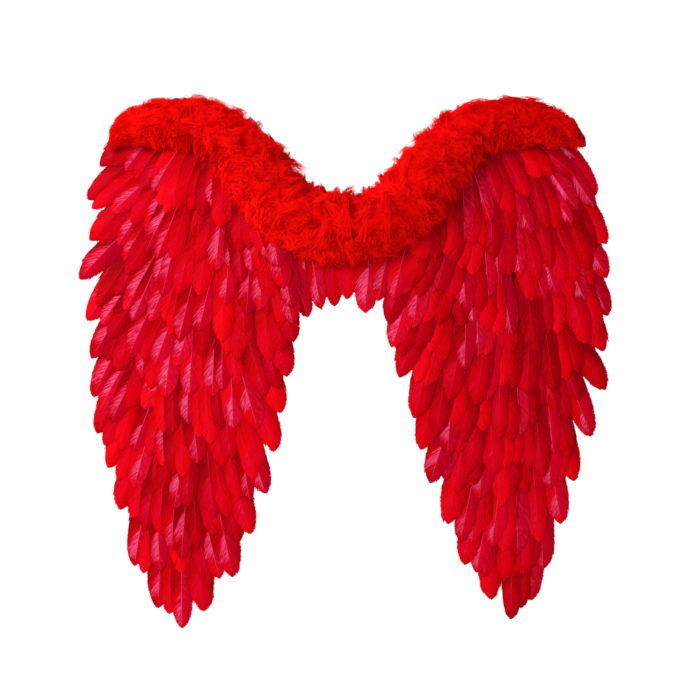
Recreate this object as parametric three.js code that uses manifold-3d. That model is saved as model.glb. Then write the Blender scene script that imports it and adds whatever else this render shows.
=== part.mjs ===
// Feathered costume wings: two felt wing panels joined by a band, rows of overlapping feathers,
// a marabou boa along the top edge and two elastic shoulder straps at the back.
//
// The wings are drawn face on: x to the viewer's right, y up and z towards the viewer, in
// millimetres. The last lines stand them up, so that +Z is up and the feathers face -Y.
import * as THREE from 'three';
import { mergeVertices } from 'three/addons/utils/BufferGeometryUtils.js';
import Module from 'manifold-3d';

const wasm = await Module();
wasm.setup();

// Overall size. The origin is on the back of the joining band, where it lies on the wearer's back.
const HALF_SPAN = 325;      // middle of the wings to the furthest feather tip
const HEIGHT = 650;         // top of the boa to the lowest feather tip

// Felt
const BAND_WIDTH = 150;
const BAND_HEIGHT = 50;
const BAND_THICKNESS = 3;
const BAND_CORNER = 8;
const PANEL_THICKNESS = 2.5;

// Feathers
const FEATHER_LENGTH = 140;
const FEATHER_WIDTH = 35;
const FEATHER_EDGE = 0.9;   // thickness at the edge of the vane
const FEATHER_RIDGE = 1.1;  // how far the rachis stands above the edge
const ROOT_INSET = 1;       // least distance of a root below the upper edge

// Boa
const BOA_RADIUS = 40;      // widest reach of the fluff from the stem
const BOA_DEPTH = 0.8;      // depth of the fluff as a share of its height
const BOA_CORE = 0.68;      // dense core as a share of the reach
const STEM_DEPTH = 22;      // stem in front of the band's back
const LOCK_STEP = 11;       // between two rings of locks
const LOCK_WIDTH = 36;      // between two locks in the widest ring

// Straps
const STRAP_X = 105;        // middle of the wings to the middle of a strap
const STRAP_WIDTH = 20;
const STRAP_THICKNESS = 1.5;
const STRAP_REACH = 130;    // how far a loop stands out behind the panel
const STRAP_TOP = 60;       // where the upper end leaves the panel
const STRAP_BOTTOM = -75;   // where the lower end leaves the panel
const STRAP_TAB = 26;       // length of each sewn end

const GAP = 0.35;           // clearance between two pieces that lie on each other
const EDGE_RISE = 2;        // how far over the upper edge the hollow behind the boa reaches
const FAR = 1000;           // past every piece, for solids that only cut

const RED_FELT = new THREE.MeshStandardMaterial({ color: 0xa00810, roughness: 0.95, flatShading: true });
const RED_FEATHER = new THREE.MeshStandardMaterial({ color: 0xd80a20, roughness: 0.5, flatShading: true });
const RED_DOWN = new THREE.MeshStandardMaterial({ color: 0xe00606, roughness: 0.9, flatShading: true });
const RED_ELASTIC = new THREE.MeshStandardMaterial({ color: 0xb00810, roughness: 0.8, flatShading: true });

// Places are shares of the size: u of HALF_SPAN outwards from the middle, v of HEIGHT down from
// the top. side is -1 for the wing on the left of the picture and 1 for the one on the right.

const NECK = { v: 0.263 };  // the middle of the band, where the origin is
const ROW_STEP = 0.068;     // between two rows

// The outline of a felt panel, from the middle over the top edge and back along the inner edge.
const PANEL_TOP = [
  { u: 0, v: 0.226 }, { u: 0.12, v: 0.218 }, { u: 0.206, v: 0.19 }, { u: 0.29, v: 0.137 },
  { u: 0.376, v: 0.08 }, { u: 0.49, v: 0.044 }, { u: 0.603, v: 0.034 }, { u: 0.728, v: 0.046 },
  { u: 0.805, v: 0.08 },
];
const PAST_CORNER = [{ u: 0.83, v: 0.05 }, { u: 0.9, v: 0.042 }, { u: 1.2, v: 0.03 }];
const PANEL_LOWER = [
  { u: 0.85, v: 0.18 }, { u: 0.865, v: 0.3 }, { u: 0.855, v: 0.45 }, { u: 0.82, v: 0.592 },
  { u: 0.745, v: 0.76 }, { u: 0.665, v: 0.87 }, { u: 0.584, v: 0.9 }, { u: 0.505, v: 0.855 },
  { u: 0.43, v: 0.74 }, { u: 0.37, v: 0.592 }, { u: 0.3, v: 0.43 }, { u: 0.24, v: 0.345 },
  { u: 0.12, v: 0.303 }, { u: 0, v: 0.3 },
];

// The rows of feathers from the top one down. count is the feathers in the row, midV the height of
// the tips in its middle, outLong and inLong the length of its end feathers as shares of
// FEATHER_LENGTH. Each side has the tips of its outer and inner end feathers, and the angles that
// these turn away from straight down: outTurn outwards, inTurn towards the middle.
const ROWS = [
  { count: 10, midV: 0.235, outLong: 0.5, inLong: 0.9,
    left: { outU: 0.924, outV: 0.132, outTurn: 50, inU: 0.25, inV: 0.325, inTurn: 8 },
    right: { outU: 0.909, outV: 0.096, outTurn: 52, inU: 0.27, inV: 0.315, inTurn: 12 } },
  { count: 10, midV: 0.3, outLong: 0.75, inLong: 0.95,
    left: { outU: 0.97, outV: 0.195, outTurn: 50, inU: 0.23, inV: 0.365, inTurn: 9 },
    right: { outU: 0.951, outV: 0.186, outTurn: 42, inU: 0.25, inV: 0.36, inTurn: 14 } },
  { count: 10, midV: 0.368, outLong: 0.9, inLong: 0.95,
    left: { outU: 0.962, outV: 0.273, outTurn: 44, inU: 0.2, inV: 0.4, inTurn: 10 },
    right: { outU: 0.989, outV: 0.28, outTurn: 34, inU: 0.18, inV: 0.385, inTurn: 14 } },
  { count: 10, midV: 0.436, outLong: 0.96, inLong: 0.96,
    left: { outU: 1, outV: 0.346, outTurn: 42, inU: 0.195, inV: 0.43, inTurn: 10 },
    right: { outU: 0.99, outV: 0.344, outTurn: 30, inU: 0.165, inV: 0.43, inTurn: 15 } },
  { count: 10, midV: 0.505, outLong: 1, inLong: 1,
    left: { outU: 0.972, outV: 0.424, outTurn: 36, inU: 0.195, inV: 0.465, inTurn: 11 },
    right: { outU: 0.993, outV: 0.415, outTurn: 26, inU: 0.176, inV: 0.475, inTurn: 17 } },
  { count: 9, midV: 0.573, outLong: 1, inLong: 1,
    left: { outU: 0.955, outV: 0.495, outTurn: 31, inU: 0.215, inV: 0.53, inTurn: 15 },
    right: { outU: 0.975, outV: 0.482, outTurn: 24, inU: 0.206, inV: 0.532, inTurn: 17 } },
  { count: 9, midV: 0.641, outLong: 1, inLong: 1,
    left: { outU: 0.95, outV: 0.567, outTurn: 28, inU: 0.24, inV: 0.598, inTurn: 17 },
    right: { outU: 0.985, outV: 0.555, outTurn: 31, inU: 0.262, inV: 0.608, inTurn: 15 } },
  { count: 8, midV: 0.709, outLong: 1, inLong: 1,
    left: { outU: 0.935, outV: 0.636, outTurn: 28, inU: 0.262, inV: 0.67, inTurn: 18 },
    right: { outU: 0.928, outV: 0.643, outTurn: 22, inU: 0.288, inV: 0.668, inTurn: 15 } },
  { count: 7, midV: 0.777, outLong: 1, inLong: 1,
    left: { outU: 0.893, outV: 0.702, outTurn: 25, inU: 0.296, inV: 0.75, inTurn: 18 },
    right: { outU: 0.864, outV: 0.727, outTurn: 14, inU: 0.323, inV: 0.731, inTurn: 15 } },
  { count: 6, midV: 0.845, outLong: 1, inLong: 1,
    left: { outU: 0.849, outV: 0.78, outTurn: 17, inU: 0.352, inV: 0.826, inTurn: 16 },
    right: { outU: 0.815, outV: 0.808, outTurn: 8, inU: 0.388, inV: 0.808, inTurn: 13 } },
  { count: 5, midV: 0.92, outLong: 1.02, inLong: 1.02,
    left: { outU: 0.792, outV: 0.887, outTurn: 8, inU: 0.421, inV: 0.908, inTurn: 10 },
    right: { outU: 0.747, outV: 0.892, outTurn: 0, inU: 0.452, inV: 0.885, inTurn: 8 } },
  { count: 3, midV: 1, outLong: 1.04, inLong: 1.04,
    left: { outU: 0.705, outV: 0.966, outTurn: 3, inU: 0.531, inV: 0.972, inTurn: 5 },
    right: { outU: 0.701, outV: 0.951, outTurn: 0, inU: 0.55, inV: 0.949, inTurn: 2 } },
];

// The short feathers under the boa between the wings. u is negative on the left of the picture,
// turn is towards the right, wide and long are shares of a full feather.
const FRINGE = [
  { u: -0.139, v: 0.418, turn: 16, wide: 0.62, long: 0.5 },
  { u: -0.089, v: 0.403, turn: 10, wide: 0.5, long: 0.56 },
  { u: -0.036, v: 0.397, turn: 5, wide: 0.56, long: 0.56 },
  { u: 0.01, v: 0.384, turn: 2, wide: 0.62, long: 0.5 },
  { u: 0.077, v: 0.41, turn: -4, wide: 0.86, long: 0.6 },
  { u: 0.125, v: 0.388, turn: -12, wide: 0.6, long: 0.5 },
];

// The stem of the boa from its outer end to just past the middle, with the reach of the fluff as a
// share of BOA_RADIUS.
const STEM = [
  { u: 0.868, v: 0.108, reach: 0.22 }, { u: 0.83, v: 0.085, reach: 0.52 }, { u: 0.745, v: 0.058, reach: 0.66 },
  { u: 0.614, v: 0.049, reach: 0.74 }, { u: 0.5, v: 0.058, reach: 0.8 }, { u: 0.395, v: 0.096, reach: 0.9 },
  { u: 0.312, v: 0.148, reach: 1 }, { u: 0.225, v: 0.203, reach: 1 }, { u: 0.12, v: 0.236, reach: 1 },
  { u: 0, v: 0.245, reach: 1 }, { u: -0.12, v: 0.236, reach: 1 },
];

// A strap loop: back is the share of STRAP_REACH that it stands behind the panel, and up the share
// of the way from the lower sewn end to the upper one.
const STRAP_LOOP = [
  { back: 0.1, up: 1.15 }, { back: 0.4, up: 1.32 }, { back: 0.78, up: 1.22 }, { back: 1, up: 0.82 },
  { back: 0.98, up: 0.33 }, { back: 0.74, up: -0.07 }, { back: 0.38, up: -0.26 }, { back: 0.1, up: -0.15 },
];

// The rounded end of a vane: back is the distance from the tip as a share of FEATHER_LENGTH, half
// the half width there as a share of FEATHER_WIDTH.
const VANE = [
  { back: 0, half: 0.07 }, { back: 0.06, half: 0.29 }, { back: 0.2, half: 0.46 }, { back: 0.48, half: 0.5 },
];
// How far a feather strays from its row's even spacing, as shares, with turn in degrees.
const STRAY = { u: 0.006, v: 0.007, turn: 2.5, width: 0.06 };
// How far a lock of the boa strays round the stem, along it and in reach.
const LOCK_STRAY = { round: 0.15, along: 0.35, reach: 0.12 };
const ROOT_HALF = 0.34;     // half width of a root, as a share of FEATHER_WIDTH
const SHORTEST = 0.21;      // a feather cut back at the top edge, as a share of FEATHER_LENGTH
const CREST_BACK = 0.2;     // where the ridge begins to fall, as a share of FEATHER_LENGTH
const CREST_LEFT = 0.3;     // share of FEATHER_RIDGE left at the tip

const PANEL_BACK = BAND_THICKNESS + GAP;
const PANEL_FRONT = PANEL_BACK + PANEL_THICKNESS;
const FEATHER_THICKNESS = FEATHER_EDGE + FEATHER_RIDGE;
const SLOPE = Math.atan((FEATHER_THICKNESS + GAP) / (ROW_STEP * HEIGHT));
const LAYER = (FEATHER_THICKNESS + GAP) / Math.cos(SLOPE);
const CENTRE = 0.14 * HALF_SPAN;  // half the width of the middle, where the boa lies on the fringe
const LOCK_PLACES = 2 * Math.round(2 * Math.PI * BOA_RADIUS / LOCK_WIDTH);

const { lerp, degToRad } = THREE.MathUtils;
const place = (u, v, side = 1) => new THREE.Vector2(side * u * HALF_SPAN, (NECK.v - v) * HEIGHT);

// A repeatable small variation between -1 and 1.
function vary(seed) {
  const wave = Math.sin(seed * 12.9898) * 437.585;
  return 2 * (wave - Math.floor(wave)) - 1;
}

// Solids

function solidOf(geometry) {
  const bare = geometry.clone();
  bare.deleteAttribute('normal');
  bare.deleteAttribute('uv');
  const merged = mergeVertices(bare);
  return new wasm.Manifold(new wasm.Mesh({
    numProp: 3,
    vertProperties: new Float32Array(merged.attributes.position.array),
    triVerts: new Uint32Array(merged.index.array),
  }));
}

function geometryOf(solid) {
  const { vertProperties, triVerts } = solid.getMesh();
  const geometry = new THREE.BufferGeometry();
  geometry.setAttribute('position', new THREE.BufferAttribute(new Float32Array(vertProperties), 3));
  geometry.setIndex(new THREE.BufferAttribute(new Uint32Array(triVerts), 1));
  geometry.computeVertexNormals();
  return geometry;
}

function plate(points, from, to) {
  return new THREE.ExtrudeGeometry(new THREE.Shape(points), { depth: to - from, bevelEnabled: false })
    .translate(0, 0, from);
}

// A closed tube through rings that each run anticlockwise as seen from the last ring, with every
// other place pinched out into a lock.
function lofted(rings) {
  const sides = rings[0].length;
  const index = [];
  for (let r = 0; r + 1 < rings.length; r++) {
    for (let s = 0; s < sides; s++) {
      const a = r * sides + s;
      const b = r * sides + (s + 1) % sides;
      if ((r + s) % 2) index.push(a, b, b + sides, a, b + sides, a + sides);
      else index.push(a, b, a + sides, b, b + sides, a + sides);
    }
  }
  const last = (rings.length - 1) * sides;
  for (let s = 1; s + 1 < sides; s++) index.push(0, s + 1, s, last, last + s, last + s + 1);
  const geometry = new THREE.BufferGeometry().setFromPoints(rings.flat());
  geometry.setIndex(index);
  return geometry;
}

const parts = [];
function add(name, geometry, material) {
  const mesh = new THREE.Mesh(geometry, material);
  mesh.name = name;
  parts.push(mesh);
}

// Felt

function joiningBand() {
  const [w, h, r] = [BAND_WIDTH / 2, BAND_HEIGHT / 2, BAND_CORNER];
  const shape = new THREE.Shape();
  shape.absarc(w - r, h - r, r, 0, Math.PI / 2);
  shape.absarc(r - w, h - r, r, Math.PI / 2, Math.PI);
  shape.absarc(r - w, r - h, r, Math.PI, 1.5 * Math.PI);
  shape.absarc(w - r, r - h, r, 1.5 * Math.PI, 2 * Math.PI);
  return new THREE.ExtrudeGeometry(shape, { depth: BAND_THICKNESS, bevelEnabled: false, curveSegments: 3 });
}

const smoothed = (table, side, samples) => new THREE.SplineCurve(table.map(({ u, v }) => place(u, v, side)))
  .getPoints(samples);

function wingPanel(side) {
  const outline = smoothed([...PANEL_TOP, ...PANEL_LOWER], side, 66);
  outline[0].x = side * GAP / 2;
  outline.at(-1).x = side * GAP / 2;
  return plate(outline, PANEL_BACK, PANEL_FRONT);
}

// The upper limit of the feathers: the panel's top edge, and a line past its outer corner.
const upperEdge = (side) => [
  ...smoothed(PANEL_TOP.slice(0, -1), side, 21),
  ...PAST_CORNER.map(({ u, v }) => place(u, v, side)),
];

// The area under that limit, raised by rise.
function featherArea(side, rise, from, to) {
  const edge = upperEdge(side).map((p) => new THREE.Vector2(p.x, p.y + rise));
  return plate([...edge, place(1.2, 1.2, side), place(0, 1.2, side)], from, to);
}

// Feathers

// A solid over a flat sheet: corners are [x, y, height], triangles run anticlockwise.
function raised(corners, triangles) {
  const points = [
    ...corners.map(([x, y, height]) => new THREE.Vector3(x, y, height)),
    ...corners.map(([x, y]) => new THREE.Vector3(x, y, 0)),
  ];
  const n = corners.length;
  const rims = new Map();
  const index = [];
  for (const [a, b, c] of triangles) {
    index.push(a, b, c, n + a, n + c, n + b);
    for (const [from, to] of [[a, b], [b, c], [c, a]]) {
      if (!rims.delete(`${to} ${from}`)) rims.set(`${from} ${to}`, [from, to]);
    }
  }
  for (const [from, to] of rims.values()) index.push(from, n + from, n + to, from, n + to, to);
  const geometry = new THREE.BufferGeometry().setFromPoints(points);
  geometry.setIndex(index);
  return geometry;
}

// A feather lies with its tip at tip and its root length away, turned by angle from straight above.
// across and back are measured from the tip.
function onFeather({ tip, angle }, across, back) {
  return new THREE.Vector2(across, back).rotateAround(new THREE.Vector2(), angle).add(tip);
}

// How far back from the tip a vane has reached the half width half, given as shares.
function backAt(half) {
  const next = VANE.findIndex((entry) => entry.half > half);
  if (next < 0) return VANE.at(-1).back;
  const [a, b] = [VANE[Math.max(next - 1, 1)], VANE[Math.max(next, 2)]];
  return lerp(a.back, b.back, Math.max(0.15, (half - a.half) / (b.half - a.half)));
}

// Feathers side by side from left to right as one piece. Each is ridged along its rachis, and two
// neighbours meet in a valley that opens into the notch between their tips.
function feathered(feathers) {
  const corners = [];
  const triangles = [];
  const corner = (p, height) => corners.push([p.x, p.y, height]) - 1;

  const longOf = (width) => FEATHER_LENGTH * width / FEATHER_WIDTH;
  const valleys = feathers.slice(1).map((right, i) => {
    const left = feathers[i];
    const apart = new THREE.Vector2().subVectors(right.tip, left.tip)
      .rotateAround(new THREE.Vector2(), -(left.angle + right.angle) / 2).x;
    const width = (left.width + right.width) / 2;
    const back = backAt(apart / 2 / width) * longOf(width);
    const root = onFeather(left, 0, left.length).lerp(onFeather(right, 0, right.length), 0.5);
    const notch = onFeather(left, 0, back).lerp(onFeather(right, 0, back), 0.5);
    return [corner(root, FEATHER_EDGE), corner(notch, FEATHER_EDGE)];
  });

  feathers.forEach((item, i) => {
    const long = longOf(item.width);
    const root = corner(onFeather(item, 0, item.length), FEATHER_THICKNESS);
    const crest = corner(onFeather(item, 0, CREST_BACK * Math.min(long, 4 * item.length)), FEATHER_THICKNESS);
    const end = corner(onFeather(item, 0, 0), FEATHER_EDGE + CREST_LEFT * FEATHER_RIDGE);
    for (const hand of [-1, 1]) {
      const edge = (half, back) => corner(onFeather(item, hand * half * item.width, back), FEATHER_EDGE);
      const rounded = ({ half, back }) => edge(half, back * long);
      const shared = valleys[hand < 0 ? i - 1 : i];
      const free = VANE.slice(2).filter(({ back }) => back * long < 0.9 * item.length).reverse();
      const rim = [
        ...(shared ?? [edge(ROOT_HALF, item.length), ...free.map(rounded)]), rounded(VANE[1]), rounded(VANE[0]),
      ];
      const half = [[root, rim[0], rim[1]], [root, rim[1], crest]];
      for (let j = 1; j + 1 < rim.length; j++) half.push([crest, rim[j], rim[j + 1]]);
      half.push([crest, rim.at(-1), end]);
      triangles.push(...half.map(([a, b, c]) => (hand < 0 ? [a, b, c] : [a, c, b])));
    }
  });
  return raised(corners, triangles);
}

function row(index, side) {
  const { count, midV, outLong, inLong } = ROWS[index];
  const { outU, outV, outTurn, inU, inV, inTurn } = side < 0 ? ROWS[index].left : ROWS[index].right;
  const limit = upperEdge(side);
  const tooHigh = (item) => [-1, 1].some((hand) => {
    const p = onFeather(item, hand * ROOT_HALF * item.width, item.length);
    const next = Math.max(1, limit.findIndex((q) => Math.abs(q.x) > Math.abs(p.x)));
    const [a, b] = [limit[next - 1], limit[next]];
    return p.y > lerp(a.y, b.y, (p.x - a.x) / (b.x - a.x)) - ROOT_INSET;
  });
  const feathers = [];
  for (let i = 0; i < count; i++) {
    const t = i / (count - 1);
    const inner = i > 0 && i < count - 1 ? 1 : 0;
    const seed = 100 * index + 7 * i + (side > 0 ? 50.5 : 0);
    const u = lerp(outU, inU, t);
    const v = 2 * (t - 0.5) * (t - 1) * outV + 4 * t * (1 - t) * midV + 2 * t * (t - 0.5) * inV;
    const item = {
      tip: place(u + STRAY.u * inner * vary(seed), v + STRAY.v * inner * vary(seed + 1), side),
      angle: side * degToRad(lerp(outTurn, -inTurn, t ** 0.85) + STRAY.turn * vary(seed + 2)),
      width: FEATHER_WIDTH * (1 + STRAY.width * vary(seed + 3)),
      length: FEATHER_LENGTH * lerp(outLong, inLong, Math.min(1, 1.6 * t)),
    };
    while (item.length > SHORTEST * FEATHER_LENGTH && tooHigh(item)) item.length -= 1;
    feathers.push(item);
  }
  return feathered(side < 0 ? feathers : feathers.reverse());
}

const fringe = () => feathered(FRINGE.map(({ u, v, turn, wide, long }) => (
  { tip: place(u, v), angle: degToRad(turn), width: FEATHER_WIDTH * wide, length: FEATHER_LENGTH * long }
)));

// Boa

function boa(side) {
  const stem = new THREE.CatmullRomCurve3(STEM.map(({ u, v }) => {
    const p = place(u, v, side);
    return new THREE.Vector3(p.x, p.y, STEM_DEPTH);
  }));
  const steps = Math.round(stem.getLength() / LOCK_STEP);
  const rings = [];
  for (let i = 0; i <= steps; i++) {
    const at = stem.getUtoTmapping(i / steps);
    const along = stem.getTangent(at);
    const up = new THREE.Vector3(-along.y, along.x, 0);
    const entry = Math.min(Math.floor(at * (STEM.length - 1)), STEM.length - 2);
    const reach = BOA_RADIUS * lerp(STEM[entry].reach, STEM[entry + 1].reach, at * (STEM.length - 1) - entry);
    rings.push(Array.from({ length: LOCK_PLACES }, (_, s) => {
      const seed = 40 * i + 3 * s + (side > 0 ? 17.3 : 0);
      const angle = 2 * Math.PI * (s + LOCK_STRAY.round * vary(seed)) / LOCK_PLACES;
      // A lock grows at every other place, except towards the panel.
      const lock = (i + s) % 2 === 0 && (-side * Math.cos(angle) > 0.7 || Math.sin(angle) > -0.1);
      const radius = reach * (lock ? 1 + LOCK_STRAY.reach * vary(seed + 1) : BOA_CORE);
      return stem.getPoint(at)
        .addScaledVector(up, radius * Math.cos(angle))
        .addScaledVector(along, lock ? LOCK_STRAY.along * LOCK_STEP * vary(seed + 2) : 0)
        .add(new THREE.Vector3(0, 0, radius * Math.sin(angle) * BOA_DEPTH));
    }));
  }
  return solidOf(lofted(rings));
}

// Straps

function strap() {
  const height = STRAP_TOP - STRAP_BOTTOM;
  const front = PANEL_BACK - GAP;
  const middle = new THREE.SplineCurve([
    ...[STRAP_TOP - STRAP_TAB, STRAP_TOP - STRAP_TAB / 2, STRAP_TOP]
      .map((y) => new THREE.Vector2(front - STRAP_THICKNESS / 2, y)),
    ...STRAP_LOOP.map(({ back, up }) => new THREE.Vector2(-back * STRAP_REACH, STRAP_BOTTOM + up * height)),
    ...[STRAP_BOTTOM, STRAP_BOTTOM + STRAP_TAB / 2, STRAP_BOTTOM + STRAP_TAB]
      .map((y) => new THREE.Vector2(front - STRAP_THICKNESS / 2, y)),
  ]);
  const samples = 34;
  const edge = (offset) => middle.getSpacedPoints(samples).map((p, i) => {
    const along = middle.getTangentAt(i / samples);
    return new THREE.Vector2(Math.min(p.x - along.y * offset, front), p.y + along.x * offset);
  });
  return plate([...edge(STRAP_THICKNESS / 2), ...edge(-STRAP_THICKNESS / 2).reverse()],
    -STRAP_WIDTH / 2, STRAP_WIDTH / 2).rotateY(-Math.PI / 2);
}

// Assembly

// Everything on one side that is more than from away from the middle.
const halfSpace = (side, from) => solidOf(plate([
  new THREE.Vector2(side * from, -FAR), new THREE.Vector2(side * FAR, -FAR),
  new THREE.Vector2(side * FAR, FAR), new THREE.Vector2(side * from, FAR),
], -FAR, FAR));

add('centre_band', joiningBand(), RED_FELT);
add('centre_feathers', fringe().translate(0, 0, PANEL_FRONT + GAP), RED_FEATHER);

for (const [side, word] of [[-1, 'left'], [1, 'right']]) {
  add(`wing_panel_${word}`, wingPanel(side), RED_FELT);

  // Each row rests on the panel with its roots and stays clear of the row below it.
  const rows = ROWS.map((_, index) => row(index, side));
  const starts = [];
  for (let index = rows.length - 1; index >= 0; index--) {
    rows[index].computeBoundingBox();
    const resting = PANEL_FRONT + GAP + rows[index].boundingBox.max.y * Math.sin(SLOPE);
    starts[index] = Math.max(resting, index + 1 < rows.length ? starts[index + 1] + LAYER : resting);
  }
  const laid = (geometry, index) => geometry.rotateX(-SLOPE).translate(0, 0, starts[index]);
  rows.forEach((geometry, index) => {
    add(`feathers_${word}_${String(index + 1).padStart(2, '0')}`, laid(geometry, index), RED_FEATHER);
  });

  const behindRows = solidOf(laid(featherArea(side, EDGE_RISE, -FAR / 2, FEATHER_THICKNESS + GAP), 0))
    .intersect(halfSpace(side, CENTRE));
  const fringeFront = PANEL_FRONT + GAP + FEATHER_THICKNESS;
  const behindFringe = solidOf(featherArea(side, EDGE_RISE, -FAR / 2, fringeFront + GAP));
  const fluff = boa(side).intersect(halfSpace(side, GAP / 2)).subtract(behindRows).subtract(behindFringe);
  add(`boa_${word}`, geometryOf(fluff), RED_DOWN);

  add(`strap_${word}`, strap().translate(side * STRAP_X, 0, 0), RED_ELASTIC);
}

const wings = new THREE.Group();
wings.name = 'feathered_wings';
wings.add(...parts);
wings.rotation.x = Math.PI / 2;
wings.updateMatrixWorld(true);

export default wings;
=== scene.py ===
"""Feathered costume wings: the feathers, the marabou boa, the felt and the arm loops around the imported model.

Sizes are in millimetres and drawn face on, with x to the right, y up and z towards the viewer, until
solid_piece() turns them into the frame's metres. Places are shares: u of HALF_SPAN outwards from the
middle, v of HEIGHT down from the top. side is -1 for the wing on the left and 1 for the one on the right.
"""
import math

import bpy
import numpy as np
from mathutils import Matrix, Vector, noise


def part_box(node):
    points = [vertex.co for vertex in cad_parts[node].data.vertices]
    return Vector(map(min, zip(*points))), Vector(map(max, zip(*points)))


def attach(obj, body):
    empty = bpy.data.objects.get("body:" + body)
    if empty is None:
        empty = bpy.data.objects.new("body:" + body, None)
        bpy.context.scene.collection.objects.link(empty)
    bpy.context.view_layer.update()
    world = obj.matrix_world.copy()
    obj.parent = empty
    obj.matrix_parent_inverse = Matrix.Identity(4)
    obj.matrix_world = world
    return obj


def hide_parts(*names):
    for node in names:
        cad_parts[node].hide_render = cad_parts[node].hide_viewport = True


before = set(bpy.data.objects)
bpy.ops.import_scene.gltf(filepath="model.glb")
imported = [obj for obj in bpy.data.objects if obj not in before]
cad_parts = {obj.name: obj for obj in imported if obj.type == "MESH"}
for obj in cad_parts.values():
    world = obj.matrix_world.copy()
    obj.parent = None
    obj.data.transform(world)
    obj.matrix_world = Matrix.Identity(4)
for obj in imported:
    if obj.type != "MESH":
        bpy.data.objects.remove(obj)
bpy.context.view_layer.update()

HALF_SPAN = 325
HEIGHT = 650
NECK = 0.263             # the height of the origin
FEATHER_LENGTH = 140
FEATHER_WIDTH = 35
ROW_STEP = 0.068         # between two rows
LAYER = 2.35             # from one row to the next, across the feathers
BAND_WIDTH, BAND_HEIGHT, BAND_THICKNESS, BAND_CORNER = 150, 50, 3, 8
PANEL_BACK = 3.35
PANEL_FRONT = 5.85
SLOPE = math.atan(LAYER / (ROW_STEP * HEIGHT))

# The upper and lower edge of a felt panel from the middle outwards and back, as (u, v).
PANEL_TOP = [
    (0, 0.226), (0.12, 0.218), (0.206, 0.19), (0.29, 0.137), (0.376, 0.08), (0.49, 0.044),
    (0.603, 0.034), (0.728, 0.046), (0.805, 0.08),
]
PAST_CORNER = [(0.83, 0.05), (0.9, 0.042), (1.2, 0.03)]
PANEL_LOWER = [
    (0.85, 0.18), (0.865, 0.3), (0.855, 0.45), (0.82, 0.592), (0.745, 0.76), (0.665, 0.87),
    (0.584, 0.9), (0.505, 0.855), (0.43, 0.74), (0.37, 0.592), (0.3, 0.43), (0.24, 0.345),
    (0.12, 0.303), (0, 0.3),
]

# The rows of feathers from the top one down: count, v of the tips in the row's middle, length of the
# outer and of the inner feathers, then for the left and the right wing the outer feather's u, v and
# turn outwards and the inner feather's u, v and turn inwards, in degrees.
ROWS = [
    (10, 0.235, 0.5, 0.9, (0.924, 0.132, 50, 0.25, 0.325, 8), (0.909, 0.096, 52, 0.27, 0.315, 12)),
    (10, 0.3, 0.75, 0.95, (0.97, 0.195, 50, 0.23, 0.365, 9), (0.951, 0.186, 42, 0.25, 0.36, 14)),
    (10, 0.368, 0.9, 0.95, (0.962, 0.273, 44, 0.2, 0.4, 10), (0.989, 0.28, 34, 0.18, 0.385, 14)),
    (10, 0.436, 0.96, 0.96, (1, 0.346, 42, 0.195, 0.43, 10), (0.99, 0.344, 30, 0.165, 0.43, 15)),
    (10, 0.505, 1, 1, (0.972, 0.424, 36, 0.195, 0.465, 11), (0.993, 0.415, 26, 0.176, 0.475, 17)),
    (9, 0.573, 1, 1, (0.955, 0.495, 31, 0.215, 0.53, 15), (0.975, 0.482, 24, 0.206, 0.532, 17)),
    (9, 0.641, 1, 1, (0.95, 0.567, 28, 0.24, 0.598, 17), (0.985, 0.555, 31, 0.262, 0.608, 15)),
    (8, 0.709, 1, 1, (0.935, 0.636, 28, 0.262, 0.67, 18), (0.928, 0.643, 22, 0.288, 0.668, 15)),
    (7, 0.777, 1, 1, (0.893, 0.702, 25, 0.296, 0.75, 18), (0.864, 0.727, 14, 0.323, 0.731, 15)),
    (6, 0.845, 1, 1, (0.849, 0.78, 17, 0.352, 0.826, 16), (0.815, 0.808, 8, 0.388, 0.808, 13)),
    (5, 0.92, 1.02, 1.02, (0.792, 0.887, 8, 0.421, 0.908, 10), (0.747, 0.892, 0, 0.452, 0.885, 8)),
    (3, 1, 1.04, 1.04, (0.705, 0.966, 3, 0.531, 0.972, 5), (0.701, 0.951, 0, 0.55, 0.949, 2)),
]
# The short feathers between the wings, and those that lie under them: signed u, v, turn to the right, and
# shares of width and length.
FRINGE = [
    (-0.139, 0.418, 16, 0.62, 0.5), (-0.089, 0.403, 10, 0.5, 0.56), (-0.036, 0.397, 5, 0.56, 0.56),
    (0.01, 0.384, 2, 0.62, 0.5), (0.077, 0.41, -4, 0.86, 0.6), (0.125, 0.388, -12, 0.6, 0.5),
]
UNDER_FRINGE = [
    (-0.175, 0.392, 17, 0.8, 0.52), (0.165, 0.378, -15, 0.8, 0.5), (-0.11, 0.386, 12, 0.8, 0.52),
    (-0.06, 0.382, 8, 0.8, 0.52), (-0.012, 0.37, 4, 0.8, 0.48), (0.04, 0.372, -1, 0.8, 0.48),
    (0.1, 0.376, -8, 0.8, 0.5),
]
# The stem of the boa from its outer end to the middle: u, v and share of the fluff's reach.
STEM = [
    (0.868, 0.09, 0.2), (0.83, 0.073, 0.5), (0.745, 0.056, 0.66), (0.614, 0.049, 0.74),
    (0.5, 0.058, 0.8), (0.395, 0.096, 0.9), (0.312, 0.148, 1), (0.225, 0.203, 1), (0.12, 0.236, 1),
    (0, 0.245, 1), (-0.12, 0.236, 1),
]
BOA_RADIUS = 40
BOA_DEPTH = 0.8          # how far it reaches forwards, as a share of how far it reaches upwards
BOA_OVERLAP = 8          # how far the down of one half reaches past the middle
STEM_DEPTH = 22
CORE_REACH = 0.8         # the dense down next to the stem, as a share of the reach
ROOT_REACH = 0.68        # where the barbs start
LONGEST_TUFT = 1.31
TUFTS, QUICK_TUFTS = 1450, 380
BARBS_PER_TUFT = 36
LOOSE_BARBS = 900        # in each half of the boa
GOLDEN = 0.618034        # turns from one tuft to the next, which spaces them evenly

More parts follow.
